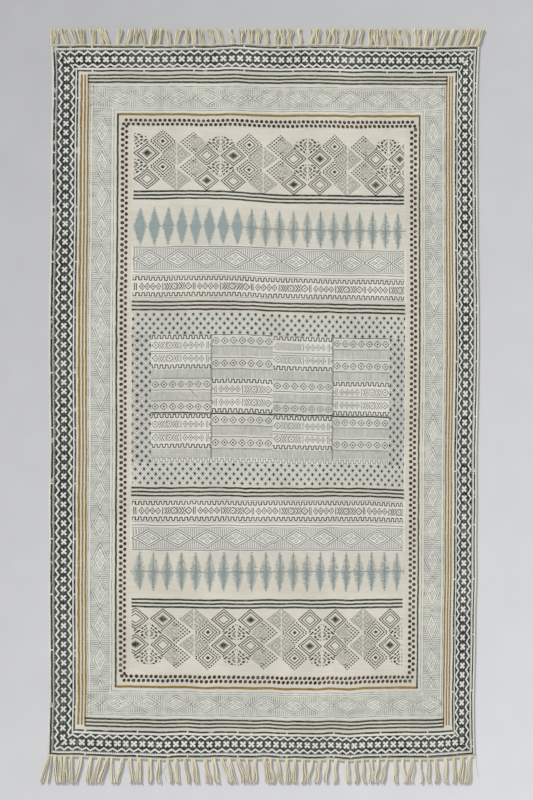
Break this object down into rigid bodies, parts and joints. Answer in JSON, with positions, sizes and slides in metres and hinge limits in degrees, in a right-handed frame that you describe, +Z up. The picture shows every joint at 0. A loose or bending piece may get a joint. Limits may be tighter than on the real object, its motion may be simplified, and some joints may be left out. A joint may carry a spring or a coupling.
{
  "type": "dhurrie rug",
  "caption": "Flat-woven cotton dhurrie rug, block-printed with star, diamond, spear and rhomb bands inside a wide border, with a cut warp fringe at each end.",
  "frame": {"origin": "middle of the cloth's underside, on the floor", "axes": "+Y along the rug's length towards its shorter fringe, +X across to the right seen from above, +Z up from the floor through the printed face"},
  "size_m": [1.2397, 2.1272, 0.0048],
  "materials": {
    "printed_cotton": "matt cream cotton flatweave, block-printed in dark teal, olive-black, ochre, grey and brown-black",
    "warp_yarn": "matt undyed twisted cotton yarn, straw-coloured"
  },
  "bodies": {
    "root": {"rug_cloth": "printed_cotton", "fringe_short": "warp_yarn", "fringe_long": "warp_yarn"}
  },
  "joints": []
}
